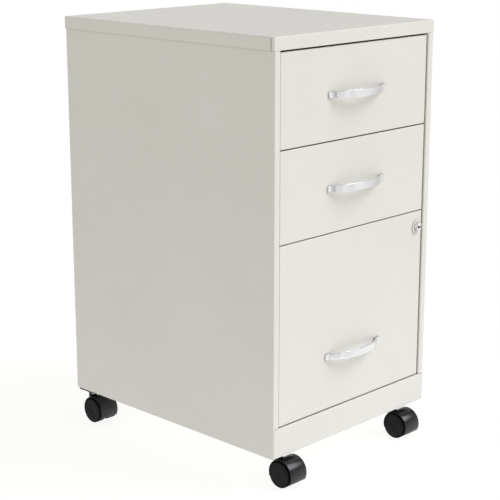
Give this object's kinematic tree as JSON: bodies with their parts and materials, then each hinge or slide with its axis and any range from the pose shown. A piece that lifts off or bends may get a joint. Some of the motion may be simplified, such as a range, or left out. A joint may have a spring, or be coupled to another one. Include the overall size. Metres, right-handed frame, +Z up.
{
  "type": "mobile filing cabinet",
  "caption": "Free-standing steel filing cabinet on swivel casters, with shallow box drawers above a deep lockable file drawer, on roller slides, with bow handles.",
  "frame": {"origin": "on the floor, under the centre of the bounding box", "axes": "+Z up, +X to the right seen from the front, the drawers face -Y"},
  "size_m": [0.3649, 0.4762, 0.675],
  "materials": {
    "off_white_paint": "satin powder coat",
    "zinc_steel": "zinc plated",
    "satin_chrome": "satin",
    "lock_chrome": "polished",
    "black_steel": "black e-coat",
    "caster_black": "gloss",
    "wheel_black": "moulded",
    "white_nylon": "moulded"
  },
  "bodies": {
    "cabinet": {"top_cap": "off_white_paint", "left_side_panel": "off_white_paint", "right_side_panel": "off_white_paint", "back_panel": "off_white_paint", "base_panel": "off_white_paint", "front_bottom_rail": "off_white_paint", "left_slide_posts": "zinc_steel", "right_slide_posts": "zinc_steel", "caster_plates": "black_steel", "caster_kingpins": "zinc_steel", "caster_plate_screws": "zinc_steel", "cabinet_roller_pins": "zinc_steel", "top_cabinet_rails": "zinc_steel", "middle_cabinet_rails": "zinc_steel", "file_cabinet_rails": "zinc_steel"},
    "top_drawer": {"top_drawer_front": "off_white_paint", "top_drawer_tray": "off_white_paint", "top_drawer_handle": "satin_chrome", "top_drawer_handle_screws": "zinc_steel", "top_drawer_rails": "zinc_steel", "top_drawer_roller_pins": "zinc_steel"},
    "top_front_rollers": {"top_front_rollers": "white_nylon"},
    "top_rear_rollers": {"top_rear_rollers": "white_nylon"},
    "middle_drawer": {"middle_drawer_front": "off_white_paint", "middle_drawer_tray": "off_white_paint", "middle_drawer_handle": "satin_chrome", "middle_drawer_handle_screws": "zinc_steel", "middle_drawer_rails": "zinc_steel", "middle_drawer_roller_pins": "zinc_steel"},
    "middle_front_rollers": {"middle_front_rollers": "white_nylon"},
    "middle_rear_rollers": {"middle_rear_rollers": "white_nylon"},
    "file_drawer": {"file_drawer_front": "off_white_paint", "file_drawer_tray": "off_white_paint", "file_drawer_handle": "satin_chrome", "file_drawer_handle_screws": "zinc_steel", "file_drawer_rails": "zinc_steel", "file_drawer_roller_pins": "zinc_steel", "lock_housing": "off_white_paint", "lock_nut": "zinc_steel"},
    "file_front_rollers": {"file_front_rollers": "white_nylon"},
    "file_rear_rollers": {"file_rear_rollers": "white_nylon"},
    "lock_cylinder": {"lock_plug": "lock_chrome", "lock_cam": "zinc_steel"},
    "front_left_caster": {"front_left_caster_hood": "caster_black", "front_left_caster_axle": "zinc_steel"},
    "front_left_wheel_left": {"front_left_wheel_left": "wheel_black"},
    "front_left_wheel_right": {"front_left_wheel_right": "wheel_black"},
    "front_right_caster": {"front_right_caster_hood": "caster_black", "front_right_caster_axle": "zinc_steel"},
    "front_right_wheel_left": {"front_right_wheel_left": "wheel_black"},
    "front_right_wheel_right": {"front_right_wheel_right": "wheel_black"},
    "rear_left_caster": {"rear_left_caster_hood": "caster_black", "rear_left_caster_axle": "zinc_steel"},
    "rear_left_wheel_left": {"rear_left_wheel_left": "wheel_black"},
    "rear_left_wheel_right": {"rear_left_wheel_right": "wheel_black"},
    "rear_right_caster": {"rear_right_caster_hood": "caster_black", "rear_right_caster_axle": "zinc_steel"},
    "rear_right_wheel_left": {"rear_right_wheel_left": "wheel_black"},
    "rear_right_wheel_right": {"rear_right_wheel_right": "wheel_black"}
  },
  "joints": [
    {"name": "drawer_top_slide", "type": "slide", "parent": "cabinet", "child": "top_drawer", "axis": [0, -1, 0], "range_m": [0, 0.32]},
    {"name": "roller_top_front_spin", "type": "hinge", "parent": "cabinet", "child": "top_front_rollers", "pos_m": [0, -0.18115, 0.547], "axis": [1, 0, 0], "continuous": true},
    {"name": "roller_top_rear_spin", "type": "hinge", "parent": "top_drawer", "child": "top_rear_rollers", "pos_m": [0, 0.16605, 0.547], "axis": [1, 0, 0], "continuous": true},
    {"name": "drawer_middle_slide", "type": "slide", "parent": "cabinet", "child": "middle_drawer", "axis": [0, -1, 0], "range_m": [0, 0.32]},
    {"name": "roller_middle_front_spin", "type": "hinge", "parent": "cabinet", "child": "middle_front_rollers", "pos_m": [0, -0.18115, 0.4084], "axis": [1, 0, 0], "continuous": true},
    {"name": "roller_middle_rear_spin", "type": "hinge", "parent": "middle_drawer", "child": "middle_rear_rollers", "pos_m": [0, 0.16605, 0.4084], "axis": [1, 0, 0], "continuous": true},
    {"name": "drawer_bottom_slide", "type": "slide", "parent": "cabinet", "child": "file_drawer", "axis": [0, -1, 0], "range_m": [0, 0.32]},
    {"name": "roller_bottom_front_spin", "type": "hinge", "parent": "cabinet", "child": "file_front_rollers", "pos_m": [0, -0.18115, 0.1312], "axis": [1, 0, 0], "continuous": true},
    {"name": "roller_bottom_rear_spin", "type": "hinge", "parent": "file_drawer", "child": "file_rear_rollers", "pos_m": [0, 0.16605, 0.1312], "axis": [1, 0, 0], "continuous": true},
    {"name": "lock_turn", "type": "hinge", "parent": "file_drawer", "child": "lock_cylinder", "pos_m": [0.1535, -0.21715, 0.35], "axis": [0, 1, 0], "range_deg": [0, 90]},
    {"name": "swivel_front_left", "type": "hinge", "parent": "cabinet", "child": "front_left_caster", "pos_m": [-0.141, -0.19315, 0.045], "axis": [0, 0, 1], "continuous": true},
    {"name": "wheel_front_left_left", "type": "hinge", "parent": "front_left_caster", "child": "front_left_wheel_left", "pos_m": [-0.141, -0.21315, 0.0206], "axis": [1, 0, 0], "continuous": true},
    {"name": "wheel_front_left_right", "type": "hinge", "parent": "front_left_caster", "child": "front_left_wheel_right", "pos_m": [-0.141, -0.21315, 0.0206], "axis": [1, 0, 0], "continuous": true},
    {"name": "swivel_front_right", "type": "hinge", "parent": "cabinet", "child": "front_right_caster", "pos_m": [0.134, -0.19315, 0.045], "axis": [0, 0, 1], "continuous": true},
    {"name": "wheel_front_right_left", "type": "hinge", "parent": "front_right_caster", "child": "front_right_wheel_left", "pos_m": [0.134, -0.21315, 0.0206], "axis": [1, 0, 0], "continuous": true},
    {"name": "wheel_front_right_right", "type": "hinge", "parent": "front_right_caster", "child": "front_right_wheel_right", "pos_m": [0.134, -0.21315, 0.0206], "axis": [1, 0, 0], "continuous": true},
    {"name": "swivel_rear_left", "type": "hinge", "parent": "cabinet", "child": "rear_left_caster", "pos_m": [-0.1645, 0.21455, 0.045], "axis": [0, 0, 1], "continuous": true},
    {"name": "wheel_rear_left_left", "type": "hinge", "parent": "rear_left_caster", "child": "rear_left_wheel_left", "pos_m": [-0.1645, 0.19455, 0.0206], "axis": [1, 0, 0], "continuous": true},
    {"name": "wheel_rear_left_right", "type": "hinge", "parent": "rear_left_caster", "child": "rear_left_wheel_right", "pos_m": [-0.1645, 0.19455, 0.0206], "axis": [1, 0, 0], "continuous": true},
    {"name": "swivel_rear_right", "type": "hinge", "parent": "cabinet", "child": "rear_right_caster", "pos_m": [0.1575, 0.21455, 0.045], "axis": [0, 0, 1], "continuous": true},
    {"name": "wheel_rear_right_left", "type": "hinge", "parent": "rear_right_caster", "child": "rear_right_wheel_left", "pos_m": [0.1575, 0.19455, 0.0206], "axis": [1, 0, 0], "continuous": true},
    {"name": "wheel_rear_right_right", "type": "hinge", "parent": "rear_right_caster", "child": "rear_right_wheel_right", "pos_m": [0.1575, 0.19455, 0.0206], "axis": [1, 0, 0], "continuous": true}
  ],
  "couplings": [
    {"joint": "roller_top_front_spin", "follows": "drawer_top_slide", "rad_per_m": 100},
    {"joint": "roller_top_rear_spin", "follows": "drawer_top_slide", "rad_per_m": 100},
    {"joint": "roller_middle_front_spin", "follows": "drawer_middle_slide", "rad_per_m": 100},
    {"joint": "roller_middle_rear_spin", "follows": "drawer_middle_slide", "rad_per_m": 100},
    {"joint": "roller_bottom_front_spin", "follows": "drawer_bottom_slide", "rad_per_m": 100},
    {"joint": "roller_bottom_rear_spin", "follows": "drawer_bottom_slide", "rad_per_m": 100}
  ]
}
